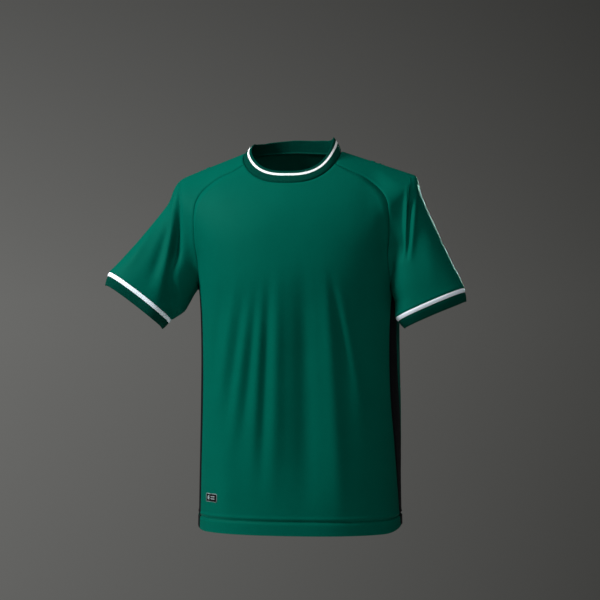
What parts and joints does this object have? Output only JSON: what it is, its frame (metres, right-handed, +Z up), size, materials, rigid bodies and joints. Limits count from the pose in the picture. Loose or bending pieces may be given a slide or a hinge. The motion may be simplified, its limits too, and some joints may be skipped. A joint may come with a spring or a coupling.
{
  "type": "football jersey",
  "caption": "Short-sleeved football jersey in the shape it takes when worn, hollow, with raglan sleeves, rib collar and cuffs and dark side panels.",
  "frame": {"origin": "middle of the neck opening, level with the tops of the shoulders that carry the jersey", "axes": "+Z up, -Y to the front of the jersey, +X to the wearer's left"},
  "size_m": [0.6647, 0.2594, 0.7175],
  "materials": {
    "green": "smooth knit, soft sheen",
    "rib": "rib knit, matte",
    "black": "fine mesh knit, matte",
    "white": "flat tape, matte",
    "label": "woven label, matte"
  },
  "bodies": {
    "root": {"front": "green", "back": "green", "sleeve_left": "green", "sleeve_right": "green", "side_panel_left": "black", "side_panel_right": "black", "collar": "rib", "cuff_left": "rib", "cuff_right": "rib", "cuff_tape_left": "white", "cuff_tape_right": "white", "hem_label": "label"}
  },
  "joints": []
}
